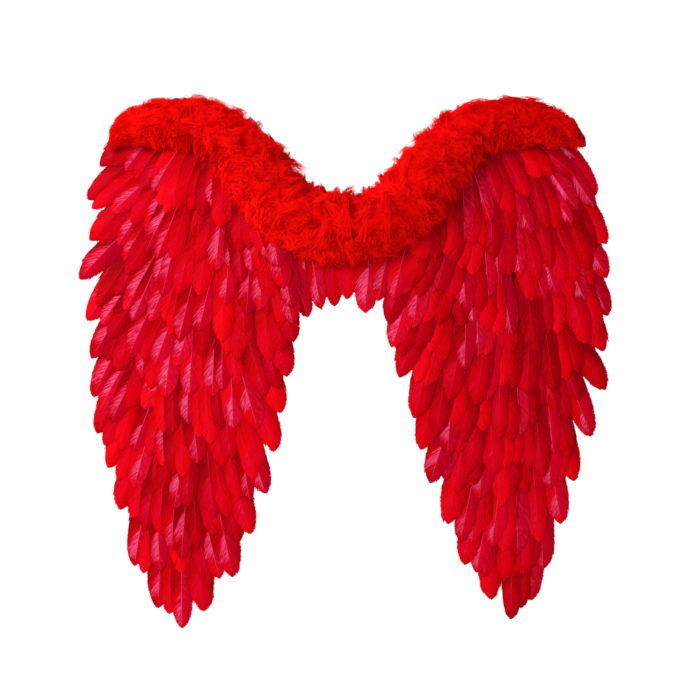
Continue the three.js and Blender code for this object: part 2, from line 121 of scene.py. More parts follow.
# The straps. A loop is given as shares: of STRAP_REACH behind the panel, and of the way from the lower
# sewn end to the upper one.
STRAP_X, STRAP_WIDTH, STRAP_THICKNESS = 105, 20, 1.5
STRAP_REACH, STRAP_TOP, STRAP_BOTTOM, STRAP_TAB = 130, 60, -75, 26
STRAP_LOOP = [
    (0.1, 1.15), (0.4, 1.32), (0.78, 1.22), (1, 0.82), (0.98, 0.33), (0.74, -0.07), (0.38, -0.26),
    (0.1, -0.15),
]

# Half the width of a vane against the distance back from its tip, as shares of a whole feather.
VANE_BACK = [0, 0.01, 0.03, 0.06, 0.12, 0.2, 0.32, 0.48, 0.75, 1.05]
VANE_HALF = [0.02, 0.1, 0.2, 0.29, 0.395, 0.46, 0.495, 0.5, 0.46, 0.34]
ROOT_HALF = 0.34
SHORTEST = 0.21
STRAY_U, STRAY_V, STRAY_TURN, STRAY_WIDTH = 0.006, 0.007, 2.5, 0.06

# How much further an inner feather strays: in turn, along its length and in width.
LOOSE_TURN, LOOSE_SLIP, LOOSE_WIDTH = 5.5, 17, 0.14
NARROW = 0.82            # the width of an inner feather as a share of an outer one
EXTRA = 0.62             # how many of the gaps in a row hold one more feather
TOP_EXTRA = 1            # and in the top row

BARB_PITCH = 2.1         # between two barbs where a feather shows
HIDDEN_PITCH = 9         # and where the row above covers it
SHOWN = 74               # how much of a feather shows, at most
BARB_RELIEF = 0.3        # how far a barb stands out of the vane
LEFT_RAGGED, RIGHT_RAGGED = 0.16, 0.06    # how much the clumps of barbs differ in length on each side
CUP = 0.15               # how far the edges of a vane lie below its rachis, as a share of its width
FELT_ALONG, FELT_ACROSS = 150, 40
FELT_EDGE = np.array([0, 0.3, 0.8, 1.5])
FELT_ROUND = 1.4         # how far in from its edge felt has its full thickness
STITCH_PITCH = 5.5
SEWN_AT = 0.72           # where a feather is sewn on, as a share of its length from its tip
THREAD = 0.42            # half its thickness
STRAP_ALONG = 200
STRAP_RIBS = 5           # along an elastic strap
CLEAR = 0.3              # between a feather and what it lies on
LEFT_SHEEN_SHARE, RIGHT_SHEEN_SHARE, FRINGE_SHEEN_SHARE = 0.45, 0.34, 0.85    # how many feathers have a strong painted sheen, a pink painted highlight along the rachis
FAR_DARK = 0.42          # how much darker a vane is where the row above shades it
RIGHT_EDGE_SHADE = 0.38         # and at its right edge, a painted shade where the vane turns away from the light


def place(u, v, side=1):
    return np.array([side * u * HALF_SPAN, (NECK - v) * HEIGHT])


def vary(seed):
    """A repeatable small variation between -1 and 1, the same one as in the part's source."""
    wave = math.sin(seed * 12.9898) * 437.585
    return 2 * (wave - math.floor(wave)) - 1


def lerp(a, b, t):
    return a + (b - a) * t


def curve_through(points, samples):
    """A uniform Catmull-Rom curve through the points, as samples + 1 points."""
    points = np.asarray(points, float)
    last = len(points) - 1
    made = []
    for t in np.linspace(0, last, samples + 1):
        i = min(int(t), last - 1)
        w = t - i
        p0, p1, p2, p3 = (points[min(max(k, 0), last)] for k in (i - 1, i, i + 1, i + 2))
        a, b = (p2 - p0) / 2, (p3 - p1) / 2
        made.append((2 * p1 - 2 * p2 + a + b) * w**3 + (3 * p2 - 3 * p1 - 2 * a - b) * w**2 + a * w + p1)
    return np.array(made)


def add_object(name, data):
    made = bpy.data.objects.new(name, data)
    bpy.context.scene.collection.objects.link(made)
    return made


# Meshes

class Gathered:
    """Points and faces of one mesh, added bit by bit, with a UV, a shade and a painted sheen for each point."""

    def __init__(self):
        self.points, self.uvs, self.shades, self.pales, self.normals = [], [], [], [], []
        self.quads, self.tris, self.count = [], [], 0

    def add(self, points, quads, tris=(), uv=None, shade=0.5, pale=0, normals=None):
        n = len(points)
        self.points.append(points)
        self.uvs.append(points[:, :2] / 100 if uv is None else uv)
        self.shades.append(np.broadcast_to(shade, n))
        self.pales.append(np.broadcast_to(pale, n))
        if normals is not None:
            self.normals.append(normals)
        self.quads.append(quads + self.count)
        self.tris.append(np.reshape(tris, (-1, 3)).astype(int) + self.count)
        self.count += n


def grid_quads(rows, columns):
    """The quads of a grid of rows by columns points."""
    at = np.arange(rows * columns).reshape(rows, columns)
    return np.stack([at[:-1, :-1], at[1:, :-1], at[1:, 1:], at[:-1, 1:]], -1).reshape(-1, 4)


def lengths(points):
    """How far along a polyline each of its points lies."""
    return np.concatenate([[0], np.cumsum(np.linalg.norm(np.diff(points, axis=0), axis=1))])


def evenly(points, count):
    """A polyline as count evenly spaced points."""
    along = lengths(points)
    even = np.linspace(0, along[-1], count)
    return np.stack([np.interp(even, along, column) for column in np.transpose(points)], 1)


def within(x, y, outline):
    """Which points lie inside an outline."""
    odd = np.zeros(x.shape, bool)
    for (ax, ay), (bx, by) in zip(outline, np.roll(outline, -1, 0)):
        if ay != by:
            odd ^= ((ay > y) != (by > y)) & (x < (bx - ax) * (y - ay) / (by - ay) + ax)
    return odd


def closed(rings):
    """A tube through rings of points, closed at both ends, as points and quads that face outwards. The two
    halves of a ring lie opposite each other, so an end is closed by quads between them."""
    count, around = rings.shape[:2]
    at = np.arange(count * around).reshape(count, around)
    turned = np.roll(at, -1, 1)
    quads = [np.stack([at[:-1], at[1:], turned[1:], turned[:-1]], -1).reshape(-1, 4)]
    half = around // 2
    for ring, step in ((at[0], 1), (at[-1], -1)):
        one, other = ring[:half], ring[half:][::-1]
        cap = np.stack([one[:-1], one[1:], other[1:], other[:-1]], -1)
        quads.append(cap[:, ::step])
    quads = np.concatenate(quads)
    points = rings.reshape(-1, 3)
    a, b, c = (points[quads[:, k]] for k in (0, 1, 2))
    d = points[quads[:, 3]]
    volume = (np.cross(b, c) * a).sum() + (np.cross(c, d) * a).sum()
    return points, (quads if volume > 0 else quads[:, ::-1])


def solid_piece(name, made, material, replaced=()):
    """Makes one object of what was gathered, in the frame's metres."""
    drawn = np.concatenate(made.points)
    world = np.stack([drawn[:, 0], -drawn[:, 2], drawn[:, 1]], 1) / 1000
    quads, tris = np.concatenate(made.quads), np.concatenate(made.tris)
    corners = np.concatenate([quads.ravel(), tris.ravel()]).astype(np.int32)
    starts = np.concatenate([4 * np.arange(len(quads)), 4 * len(quads) + 3 * np.arange(len(tris))])
    mesh = bpy.data.meshes.new(name)
    mesh.vertices.add(len(world))
    mesh.vertices.foreach_set("co", world.astype(np.float32).ravel())
    mesh.loops.add(len(corners))
    mesh.loops.foreach_set("vertex_index", corners)
    mesh.polygons.add(len(quads) + len(tris))
    mesh.polygons.foreach_set("loop_start", starts.astype(np.int32))
    mesh.update(calc_edges=True)
    uv = mesh.uv_layers.new(name="UVMap")
    uv.uv.foreach_set("vector", np.concatenate(made.uvs)[corners].astype(np.float32).ravel())
    for attribute, values in (("shade", made.shades), ("pale", made.pales)):
        layer = mesh.attributes.new(attribute, "FLOAT", "POINT")
        layer.data.foreach_set("value", np.concatenate(values).astype(np.float32))
    mesh.shade_smooth()
    if made.normals:
        turned = np.concatenate(made.normals)[:, [0, 2, 1]] * [1, -1, 1]
        mesh.normals_split_custom_set_from_vertices(turned.tolist())
    mesh.materials.append(material)
    piece = add_object(name, mesh)
    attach(piece, "root")
    if replaced:
        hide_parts(*replaced)
    return piece


# What lies lowest and what has been laid on it

class Surface:
    """The height of everything laid so far, on a grid of square cells."""

    CELL = 1.5
    LOW_X, LOW_Y, WIDE, HIGH = -360, -520, 480, 480
    NOTHING = -30

    def __init__(self):
        self.heights = np.full((self.HIGH, self.WIDE), float(self.NOTHING))

    def cells(self, x, y):
        column = np.clip(((x - self.LOW_X) / self.CELL).astype(int), 0, self.WIDE - 1)
        line = np.clip(((y - self.LOW_Y) / self.CELL).astype(int), 0, self.HIGH - 1)
        return line, column

    def at(self, x, y):
        return self.heights[self.cells(x, y)]

    def lay(self, x, y, z):
        np.maximum.at(self.heights, self.cells(x, y), z)

    def lay_outline(self, outline, z):
        """Lays a flat sheet with that outline."""
        x, y = np.meshgrid(
            self.LOW_X + self.CELL * (np.arange(self.WIDE) + 0.5),
            self.LOW_Y + self.CELL * (np.arange(self.HIGH) + 0.5),
        )
        covered = within(x, y, outline)
        self.heights[covered] = np.maximum(self.heights[covered], z)


# Feathers

def panel_outline(side, samples=66):
    outline = curve_through([place(u, v, side) for u, v in PANEL_TOP + PANEL_LOWER], samples)
    outline[[0, -1], 0] = side * 0.175
    return outline


def upper_edge(side):
    edge = curve_through([place(u, v, side) for u, v in PANEL_TOP[:-1]], 21)
    return np.concatenate([edge, [place(u, v, side) for u, v in PAST_CORNER]])


def row_feathers(index, side):
    """Where the feathers of a row lie, from the outer one to the inner one: tip, angle, width, length."""
    count, mid_v, out_long, in_long, left, right = ROWS[index]
    out_u, out_v, out_turn, in_u, in_v, in_turn = left if side < 0 else right
    edge = upper_edge(side)
    edge_x, edge_y = np.abs(edge[:, 0]), edge[:, 1]
    row = []
    for i in range(count):
        t = i / (count - 1)
        inner = 1 if 0 < i < count - 1 else 0
        seed = 100 * index + 7 * i + (50.5 if side > 0 else 0)
        u = lerp(out_u, in_u, t) + STRAY_U * inner * vary(seed)
        v = 2 * (t - 0.5) * (t - 1) * out_v + 4 * t * (1 - t) * mid_v + 2 * t * (t - 0.5) * in_v
        tip = place(u, v + STRAY_V * inner * vary(seed + 1), side)
        angle = side * math.radians(lerp(out_turn, -in_turn, t**0.85) + STRAY_TURN * vary(seed + 2))
        width = FEATHER_WIDTH * (1 + STRAY_WIDTH * vary(seed + 3))
        length = FEATHER_LENGTH * lerp(out_long, in_long, min(1, 1.6 * t))
        while length > SHORTEST * FEATHER_LENGTH:
            roots = [on_feather(tip, angle, hand * ROOT_HALF * width, length) for hand in (-1, 1)]
            if all(y < np.interp(abs(x), edge_x, edge_y) - 1 for x, y in roots):
                break
            length -= 1
        if inner:
            angle += side * math.radians(LOOSE_TURN * vary(seed + 4))
            slip = LOOSE_SLIP * vary(seed + 5)
            tip = np.array(on_feather(tip, angle, 0, slip))
            length -= max(0, slip)
            width *= NARROW * (1 + LOOSE_WIDTH * vary(seed + 6))
        row.append((tip, angle, width, length))
    return row


def with_extras(row, seed, extra):
    """The feathers of a row with more of them in some of its gaps, from the outer one to the inner one."""
    made = [row[0]]
    for k, (one, other) in enumerate(zip(row, row[1:])):
        if 0.5 + 0.5 * vary(seed + 11 * k) < extra:
            wander = 0.5 + 0.14 * vary(seed + 31 * k)
            angle = lerp(one[1], other[1], wander) + math.radians(LOOSE_TURN * vary(seed + 5 * k))
            width = min(one[2], other[2]) * (0.9 + 0.12 * vary(seed + 7 * k))
            length = min(one[3], other[3])
            slip = min(4 + LOOSE_SLIP * vary(seed + 17 * k), length / 4)
            tip = on_feather(lerp(np.array(one[0]), np.array(other[0]), wander), angle, 0, slip)
            made.append((np.array(tip), angle, width, length - max(0, slip)))
        made.append(other)
    return made


def on_feather(tip, angle, across, back):
    """The point that lies across to the right of the rachis and back from the tip."""
    x = tip[0] + across * math.cos(angle) - back * math.sin(angle)
    y = tip[1] + across * math.sin(angle) + back * math.cos(angle)
    return x, y


class Bed:
    """The height of one feather over its own rectangle, laid on what is under it."""

    def __init__(self, feather, start, surface, rng):
        self.tip, self.angle, self.width, self.length = feather
        self.long = FEATHER_LENGTH * self.width / FEATHER_WIDTH
        self.roll = math.tan(math.radians(rng.uniform(-7, 7)))
        self.bend = rng.uniform(-1, 1) * 3.5
        self.cup = CUP * self.width * rng.uniform(0.75, 1.25)
        self.start = start
        half = 0.56 * self.width
        self.across = np.linspace(-half, half, 13)
        self.back = np.linspace(-2, self.length + 2, max(8, int(self.length / 5)))
        b, a = np.meshgrid(self.back, self.across, indexing="ij")
        own = self.own_height(a, b)
        x, y = self.flat(a, b)
        inside = np.abs(a) <= self.half_at(b) + 1
        need = np.where(inside, np.maximum(0, surface.at(x, y) + CLEAR - own), 0)
        lift = need.copy()
        for _ in range(8):
            padded = np.pad(lift, 1, mode="edge")
            around = padded[:-2, 1:-1] + padded[2:, 1:-1] + padded[1:-1, :-2] + padded[1:-1, 2:]
            lift = np.maximum(need, (2 * lift + around) / 6)
        self.lift = lift
        self.lay_on(surface)

    def half_at(self, back):
        return self.width * np.interp(back / self.long, VANE_BACK, VANE_HALF)

    def flat(self, across, back):
        """Where a point of the vane lies face on. The rachis bends a little to one side."""
        bow = self.bend * (np.clip(back / self.length, 0, 1) - 0.5) ** 2 * 4 - self.bend * 0.3
        fade = np.clip(back / 30, 0, 1)
        return on_feather(self.tip, self.angle, across + bow * fade, back)

    def own_height(self, across, back):
        _, y = self.flat(across, back)
        share = np.clip(np.abs(across) / (0.5 * self.width), 0, 1.2)
        near_tip = np.clip(back / 26, 0, 1)
        cup = self.cup * (1 - share**1.4) * near_tip**0.5
        droop = 1.6 * (1 - np.clip(back / 45, 0, 1)) ** 2
        return self.start - y * math.tan(SLOPE) + 0.4 + cup - droop + self.roll * across * near_tip

    def height(self, across, back):
        """The height of the vane, between the points where it was laid."""
        i = (across - self.across[0]) / (self.across[1] - self.across[0])
        j = (back - self.back[0]) / (self.back[1] - self.back[0])
        i, j = np.clip(i, 0, len(self.across) - 1.001), np.clip(j, 0, len(self.back) - 1.001)
        i0, j0 = i.astype(int), j.astype(int)
        s, t = i - i0, j - j0
        low = self.lift[j0, i0] * (1 - s) + self.lift[j0, i0 + 1] * s
        high = self.lift[j0 + 1, i0] * (1 - s) + self.lift[j0 + 1, i0 + 1] * s
        return self.own_height(across, back) + low * (1 - t) + high * t

    def lay_on(self, surface):
        step, half = 1.1, 0.5 * self.width
        b, a = np.meshgrid(np.arange(0, self.length, step), np.arange(-half, half, step), indexing="ij")
        inside = np.abs(a) <= self.half_at(b)
        a, b = a[inside], b[inside]
        x, y = self.flat(a, b)
        surface.lay(x, y, self.height(a, b) + BARB_RELIEF)


def barb_rows(length, ragged, rng):
    """Rows of points across one side of a vane: where each leaves the rachis, whether it is a barb's crest,
    which clump it belongs to, and how far it spreads and reaches at its end."""
    rows = []
    along, clump = 0.8, 0
    while along < min(SHOWN, length - 3):
        size = int(rng.integers(3, 12))
        lean, trim = rng.normal(0, 0.5), rng.uniform(0, ragged)
        opened = rng.random() ** 3
        rows.append((along, False, clump, lean + opened, 1 - trim))
        for k in range(size):
            pitch = BARB_PITCH * rng.uniform(0.8, 1.25)
            spread = lean + opened * (1 - 2 * (k + 0.5) / size)
            rows.append((along + pitch / 2, True, clump, spread, 1 - trim + 0.02 * rng.normal()))
            rows.append((along + pitch, False, clump, spread, 1 - trim - rng.uniform(0.015, 0.07)))
            along += pitch
        clump += 1
    while along < length + HIDDEN_PITCH:
        rows.append((min(along, length), False, clump, 0, 0.95))
        along += HIDDEN_PITCH
    return tuple(np.array(column) for column in zip(*rows))


def vane_points(bed, at, q, run, reach, spread):
    """Where barbs that leave the rachis at at lie: across and back, at the shares q of their length."""
    end = at - run * (1 - np.exp(-at / run))
    half = bed.half_at(end)
    side_q = q * (1 + (reach[:, None] - 1) * q**2)
    across = half[:, None] * (1.12 * side_q - 0.12 * side_q**2) - 0.1 * (1 - q)
    back = lerp(at[:, None], end[:, None], 0.72 * side_q + 0.28 * side_q**2) - spread[:, None] * q**3
    return across, back


def barbules(made, bed, hand, run, shade):
    """The finer layer just under the barbs, so that no light shows through between two clumps."""
    count, reach = 12, 0.93
    at = np.linspace(2, min(SHOWN, bed.length), count)
    q = np.array([0, 0.5, reach])[None, :]
    across, back = vane_points(bed, at, q, run, np.full(count, reach), np.zeros(count))
    x, y = bed.flat(hand * across, back)
    z = bed.height(hand * across, np.maximum(back, 0)) - BARB_RELIEF - 0.1
    points = np.stack([x, y, z], -1).reshape(-1, 3)
    quads = grid_quads(count, 3)
    # The lower layer is painted darker than the barbs, a painted shade where it lies under them.
    made.add(points, quads[:, ::-1] if hand < 0 else quads, shade=shade - 0.15)


def vane_side(made, bed, hand, rng, shade, pale):
    """One side of a vane: barbs that leave the rachis and curve towards the tip."""
    at, crest, clump, spread, reach = barb_rows(bed.length, LEFT_RAGGED if hand < 0 else RIGHT_RAGGED, rng)
    run = 0.5 * bed.width / math.tan(math.radians(rng.uniform(30, 36)))
    q = np.array([0, 0.2, 0.48, 0.78, 1])[None, :]
    across, back = vane_points(bed, at, q, run, reach, spread)
    x, y = bed.flat(hand * across, back)
    relief = np.where(crest, 1, -0.6)[:, None] * BARB_RELIEF * np.minimum(1, 4 * q)
    group_lift = 0.4 * np.sin(2.4 * clump + hand)[:, None] * q**2
    z = bed.height(hand * across, np.maximum(back, 0)) + relief + group_lift
    points = np.stack([x, y, z], -1).reshape(-1, 3)
    uv = np.stack([np.broadcast_to(at[:, None], across.shape), q * run * 1.2 + 0 * across], -1).reshape(-1, 2)
    uv = uv / 100 + rng.integers(0, 40, 2)
    rows = grid_quads(len(at), q.shape[1]).reshape(len(at) - 1, -1, 4)
    quads = rows[clump[1:] == clump[:-1]].reshape(-1, 4)
    if hand < 0:
        quads = quads[:, ::-1]
    streak = rng.normal(size=len(at))[:, None]
    tone = shade + 0.10 * np.sin(clump * 1.7 + 9 * shade)[:, None] * q + 0.05 * streak
    # Painted shade: the vane is darker where the row above shades it and at its right edge, which turns away
    # from the light.
    tone = tone - FAR_DARK * np.clip((at[:, None] - 32) / 40, 0, 1) - (RIGHT_EDGE_SHADE * q**2 if hand > 0 else 0)
    # On the left side of some vanes, a ragged patch along the rachis is painted sheen: a painted highlight
    # where the barbs face the light. The right side gets a weak, even painted sheen.
    strength, middle, half = pale
    lens = np.clip(1 - ((at - middle) / half) ** 2, 0, 1)[:, None]
    patch = np.clip(1.5 * lens + 0.35 * streak * (lens > 0) - 1.3 * q**1.5, 0, 1)
    sheen_paint = strength * patch if hand < 0 else 0.3 * strength + 0 * patch
    barbules(made, bed, hand, run, shade)
    made.add(points, quads, uv=uv, shade=tone.reshape(-1), pale=np.clip(sheen_paint, 0, 1).reshape(-1))


def rachis(made, bed, pale):
    """The quill along the middle of a vane, as a ridge that thins out towards the tip."""
    back = np.linspace(0.6, bed.length, 16)
    thick = lerp(0.16, 1.0, np.clip(back / bed.long, 0, 1) ** 0.7)
    points = []
    for across, rise in ((-0.55, -0.1), (0, 0.55), (0.55, -0.1)):
        x, y = bed.flat(across * thick, back)
        points.append(np.stack([x, y, bed.height(0 * back, back) + 0.12 + rise * thick], -1))
    points = np.stack(points, 1).reshape(-1, 3)
    made.add(points, grid_quads(16, 3)[:, ::-1], uv=0 * points[:, :2], shade=0.95, pale=pale)


def feather(made, spec, start, surface, seed, sheen_share):
    """One feather. Its patch of painted sheen is a strength, a middle and half a length, back from the tip."""
    rng = np.random.default_rng(seed)
    bed = Bed(spec, start, surface, rng)
    shade = 0.57 + 0.36 * rng.uniform(-1, 1)
    strong = rng.random() < sheen_share
    pale = (rng.uniform(0.6, 1) if strong else rng.uniform(0, 0.3), rng.uniform(16, 46), rng.uniform(14, 30))
    for hand in (-1, 1):
        vane_side(made, bed, hand, rng, shade, pale)
    # The rachis gets painted sheen too, more of it on a feather with a strong patch.
    rachis(made, bed, 0.24 + 0.7 * pale[0])


def feathers(surface, material):
    fringe = Gathered()
    specs = [
        (place(u, v), math.radians(turn), 1.3 * FEATHER_WIDTH * wide, FEATHER_LENGTH * long)
        for u, v, turn, wide, long in UNDER_FRINGE + FRINGE
    ]
    for i, spec in enumerate(specs):
        feather(fringe, spec, PANEL_FRONT + 0.35, surface, 9000 + i, FRINGE_SHEEN_SHARE)
    solid_piece("short_feathers", fringe, material, ["centre_feathers"])
    for index in reversed(range(len(ROWS))):
        for side, word, sheen_share in ((-1, "left", LEFT_SHEEN_SHARE), (1, "right", RIGHT_SHEEN_SHARE)):
            node = f"feathers_{word}_{index + 1:02d}"
            low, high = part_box(node)
            start = 1000 * (high.z * math.tan(SLOPE) - high.y)
            made = Gathered()
            extra = EXTRA if index else TOP_EXTRA
            specs = with_extras(row_feathers(index, side), 200 * index + 9 * side, extra)
            for i, spec in enumerate(specs):
                feather(made, spec, start, surface, 1000 * index + 10 * i + (side > 0), sheen_share)
            solid_piece(f"feather_row_{word}_{index + 1:02d}", made, material, [node])


# Boa

def stem_curve(side):
    """The stem as points, directions along it and reaches, evenly spaced."""
    table = np.array([(*place(u, v, side), reach * BOA_RADIUS) for u, v, reach in STEM])
    fine = curve_through(table, 300)
    fine = fine[side * fine[:, 0] > -BOA_OVERLAP]
    length = lengths(fine[:, :2])
    even = np.linspace(0, length[-1], 240)
    fine = np.stack([np.interp(even, length, fine[:, k]) for k in range(3)], 1)
    along = np.gradient(fine[:, :2], axis=0)
    along /= np.linalg.norm(along, axis=1, keepdims=True)
    return fine, along, length[-1]


def around_stem(stem, along, at, angle, share):
    """Points round the stem, and the directions outwards and along it there. at is the share of its length,
    angle 0 is up and a quarter turn is forwards."""
    k = at * (len(stem) - 1)
    x, y, reach = (np.interp(k, np.arange(len(stem)), stem[:, i]) for i in range(3))
    ax, ay = (np.interp(k, np.arange(len(stem)), along[:, i]) for i in range(2))
    up_x, up_y = np.where(ax < 0, ay, -ay), np.abs(ax)
    out = np.stack([up_x * np.cos(angle), up_y * np.cos(angle), BOA_DEPTH * np.sin(angle)], -1)
    centre = np.stack([x, y, np.full_like(x, STEM_DEPTH)], -1)
    return centre + out * (reach * share)[..., None], out, np.stack([ax, ay, 0 * ax], -1)


def thinner_below(at, angle):
    """How much less far the down reaches under the outer end of the stem."""
    return 0.52 * np.clip(1 - at / 0.3, 0, 1) * np.clip(-np.cos(angle), 0, 1)


def soft_normals(out):
    """Light goes round and through loose down, so it shades as a flatter thing than it is."""
    flatter = out * [0.42, 0.42, 0.5]
    flatter[:, 2] += np.where(out[:, 2] > 0, 0.8, -0.5) * np.clip(np.abs(out[:, 2]) / 0.15, 0, 1)
    return flatter / np.linalg.norm(flatter, axis=1, keepdims=True)


def over_feathers(points, surface, clear):
    """Lifts points that would lie in the feathers."""
    floor = surface.at(points[..., 0], points[..., 1]) + clear
    points[..., 2] = np.maximum(points[..., 2], floor)
    return points


def boa_core(made, stem, along, surface):
    """The dense down next to the stem."""
    rings, sides = 110, 40
    at = np.repeat(np.linspace(0.01, 1, rings), sides).reshape(rings, sides)
    angle = np.tile(np.linspace(0, 2 * math.pi, sides, endpoint=False), (rings, 1))
    points, out, _ = around_stem(stem, along, at, angle, CORE_REACH - thinner_below(at, angle))
    uneven = np.array([noise.noise(Vector(p) * 0.09) for p in points.reshape(-1, 3)]).reshape(at.shape)
    points = over_feathers(points + out * (3 * uneven)[..., None], surface, 0.5)
    flat, quads = closed(points)
    normals = soft_normals(out.reshape(-1, 3))
    made.add(flat, quads, normals=normals)


def swelling(point):
    """Where the boa is fuller, as a smooth noise along it with a finer one on top."""
    point = Vector(point)
    return noise.noise(point * 0.045 + Vector((7, 3, 5))) + 0.5 * noise.noise(point * 0.12)


def tufts(stem, along, rng):
    """The tufts of down, as columns: the share along the stem, the angle round it, how far the point leans
    along it and turns round it, the reach, the tone and how much the tuft hangs."""
    count = TUFTS
    order = np.arange(count)
    at = (order + rng.uniform(-2, 2, count)) / count
    angle = math.pi * lerp(-0.5, 1.5, (order * GOLDEN + rng.uniform(-0.02, 0.02, count)) % 1)
    straighter = np.where(rng.random(count) < 0.35, 0.35, 1)
    lean = rng.normal(0, 0.75, count) * straighter
    turn = rng.normal(0, 0.55, count) * straighter
    reach = 0.86 + 0.42 * rng.random(count) ** 2.5
    # Painted light: the down is painted lighter towards the middle of the boa.
    tone = rng.normal(0.34, 0.2, count) + 0.48 * at
    points, _, _ = around_stem(stem, along, np.clip(at, 0, 1), angle, np.ones(count))
    swell = np.array([swelling(point) for point in points])
    hang = np.clip(-np.cos(angle), 0, 1)
    thinner = thinner_below(at, angle) * rng.uniform(0.75, 1.55, count)
    reach += 0.26 * swell + 0.3 * hang * rng.uniform(0.4, 1.3, count) - thinner
    # Where the boa swells fuller its down is painted lighter too, a painted light on the fuller parts.
    return at, angle, lean, turn, np.minimum(reach, LONGEST_TUFT), tone + 0.3 * swell, hang


def barb_levels(stem, along, length, surface, tuft, alone, rng):
    """The roots, the middles and the tips of barbs, each as points and the directions outwards there."""
    at, angle, lean, turn, tuft_reach, _, hang = tuft
    count = len(at)
    reach = np.interp(at * (len(stem) - 1), np.arange(len(stem)), stem[:, 2])
    root_at = at + rng.normal(0, 4.5, count) / length
    root_angle = angle + rng.normal(0, 4.5, count) / reach
    # A barb that ends near the tuft's point ends close to the others, so that the tuft tapers.
    share = rng.uniform(0, 1, count) ** 0.65
    spread = lerp(5.5, 1.5, share) + 6 * alone
    tip_at = at + (lean * 0.55 * reach + spread * rng.normal(0, 1, count)) / length
    tip_angle = angle + turn + spread * rng.normal(0, 1, count) / reach
    tip_share = lerp(0.84, tuft_reach, share) + (0.13 + 0.14 * hang) * alone * rng.uniform(0, 1, count)
    mid_at = lerp(root_at, tip_at, 0.4) + rng.normal(0, 1.2, count) / length
    levels = []
    for level_at, level_angle, level_share in (
        (root_at, root_angle, np.full(count, ROOT_REACH)),
        (mid_at, lerp(root_angle, tip_angle, 0.35), lerp(ROOT_REACH, tip_share, 0.7)),
        (tip_at, tip_angle, tip_share),
    ):
        points, out, ahead = around_stem(stem, along, np.clip(level_at, 0, 1), level_angle, level_share)
        past_end = length * np.minimum(level_at, 0)[:, None]
        levels.append((points + past_end * ahead, out))
    # The tips sag, and those below the stem hang down to what lies under them.
    tip = levels[-1][0]
    tip[:, 1] -= 0.06 * reach
    hanging = 0.7 * np.clip(-1.3 * np.cos(tip_angle), 0, 1)
    tip[:, 2] = lerp(tip[:, 2], surface.at(tip[:, 0], tip[:, 1]).clip(PANEL_FRONT), hanging)
    return levels


def ribbons(made, points, outs, tones, wide):
    """Barbs as flat pointed ribbons that face forwards or backwards. They shade softly, but at the edge of
    the boa, where they are seen from both sides, they shade as the flat things that they are."""
    root, mid, tip = points
    soft = [soft_normals(out) for out in outs]
    facing = np.where(outs[1][:, 2:] > 0, [[0, 0, 1.0]], [[0, 0, -1.0]])
    ahead = (tip - root) / (np.linalg.norm(tip - root, axis=1, keepdims=True) + 1e-9)
    across = np.cross(ahead, lerp(soft[1], facing, 0.5))
    across /= np.linalg.norm(across, axis=1, keepdims=True) + 1e-9
    own = np.cross(across, ahead)
    at_root, at_mid, at_tip = (
        lerp(own, normal, np.clip((np.abs(out[:, 2:]) - 0.1) / 0.25, 0, 1)) for normal, out in zip(soft, outs)
    )
    aside = across * wide
    corners = [root - aside, root + aside, mid - aside * 1.1, mid + aside * 1.1, tip]
    flat = np.stack(corners, 1).reshape(-1, 3)
    first = 5 * np.arange(len(root))[:, None]
    # The barbs are painted lighter towards their tips, so their roots deep in the down carry a painted shade.
    made.add(
        flat,
        first + [0, 1, 3, 2],
        first + [2, 3, 4],
        shade=(tones[:, None] + [0, 0, 0.06, 0.06, 0.16]).reshape(-1),
        normals=np.stack([at_root, at_root, at_mid, at_mid, at_tip], 1).reshape(-1, 3),
    )


def boa_down(made, side, stem, along, length, surface, rng):
    """Soft barbs of down in pointed tufts all round the stem, with a few loose ones between them."""
    columns = tufts(stem, along, rng)
    count = len(columns[0])
    index = np.concatenate([np.repeat(np.arange(count), BARBS_PER_TUFT), rng.integers(0, count, LOOSE_BARBS)])
    tuft = [column[index] for column in columns]
    alone = np.arange(len(index)) >= len(index) - LOOSE_BARBS
    levels = barb_levels(stem, along, length, surface, tuft, alone, rng)
    keep = side * levels[-1][0][:, 0] > -2 * BOA_OVERLAP
    tones = tuft[5][keep] + rng.normal(0, 0.07, keep.sum())
    wide = rng.uniform(0.28, 0.5, len(index))[keep] * np.where(alone[keep], 0.6, 1)
    clear = (0.4, 1, 0.8)
    points = [over_feathers(level[0][keep], surface, gap) for level, gap in zip(levels, clear)]
    ribbons(made, points, [out[keep] for _, out in levels], tones, wide[:, None])


def boa(surface, material):
    for side, word in ((-1, "left"), (1, "right")):
        stem, along, length = stem_curve(side)
        made = Gathered()
        boa_core(made, stem, along, surface)
        boa_down(made, side, stem, along, length, surface, np.random.default_rng(77 + side))
        solid_piece(f"down_{word}", made, material, [f"boa_{word}"])


# Felt, stitches and elastic

def felt_sheet(top, low, back, front):
    """Felt between two sides, each given as the same number of points, with a rounded edge all round."""
    wide = np.linalg.norm(top - low, axis=1)[:, None]
    from_edge = np.minimum(FELT_EDGE, 0.12 * wide * np.arange(len(FELT_EDGE)) / len(FELT_EDGE))
    inner = np.linspace(0, 1, FELT_ACROSS)[1:-1]
    near = from_edge / wide
    share = np.concatenate([near, lerp(near[:, -1:], 1 - near[:, -1:], inner), 1 - near[:, ::-1]], 1)
    along = lengths((top + low) / 2)[:, None]
    gap = np.minimum(np.minimum(share, 1 - share) * wide, np.minimum(along, along[-1] - along) + 0.4)
    full = np.sqrt(1 - np.clip(1 - (gap + 0.12) / FELT_ROUND, 0, 1) ** 2)
    flat = lerp(top[:, None, :], low[:, None, :], share[..., None])
    uneven = np.array([noise.noise((0.06 * x, 0.06 * y, 4)) for x, y in flat.reshape(-1, 2)])
    half = (front - back) / 2 - 0.1 - 0.1 * uneven.reshape(share.shape)
    middle = (back + front) / 2
    faces = [np.concatenate([flat, (middle + hand * half * full)[..., None]], -1) for hand in (1, -1)]
    points, quads = closed(np.concatenate([faces[0], faces[1][:, ::-1]], 1))
    made = Gathered()
    made.add(points, quads)
    return made


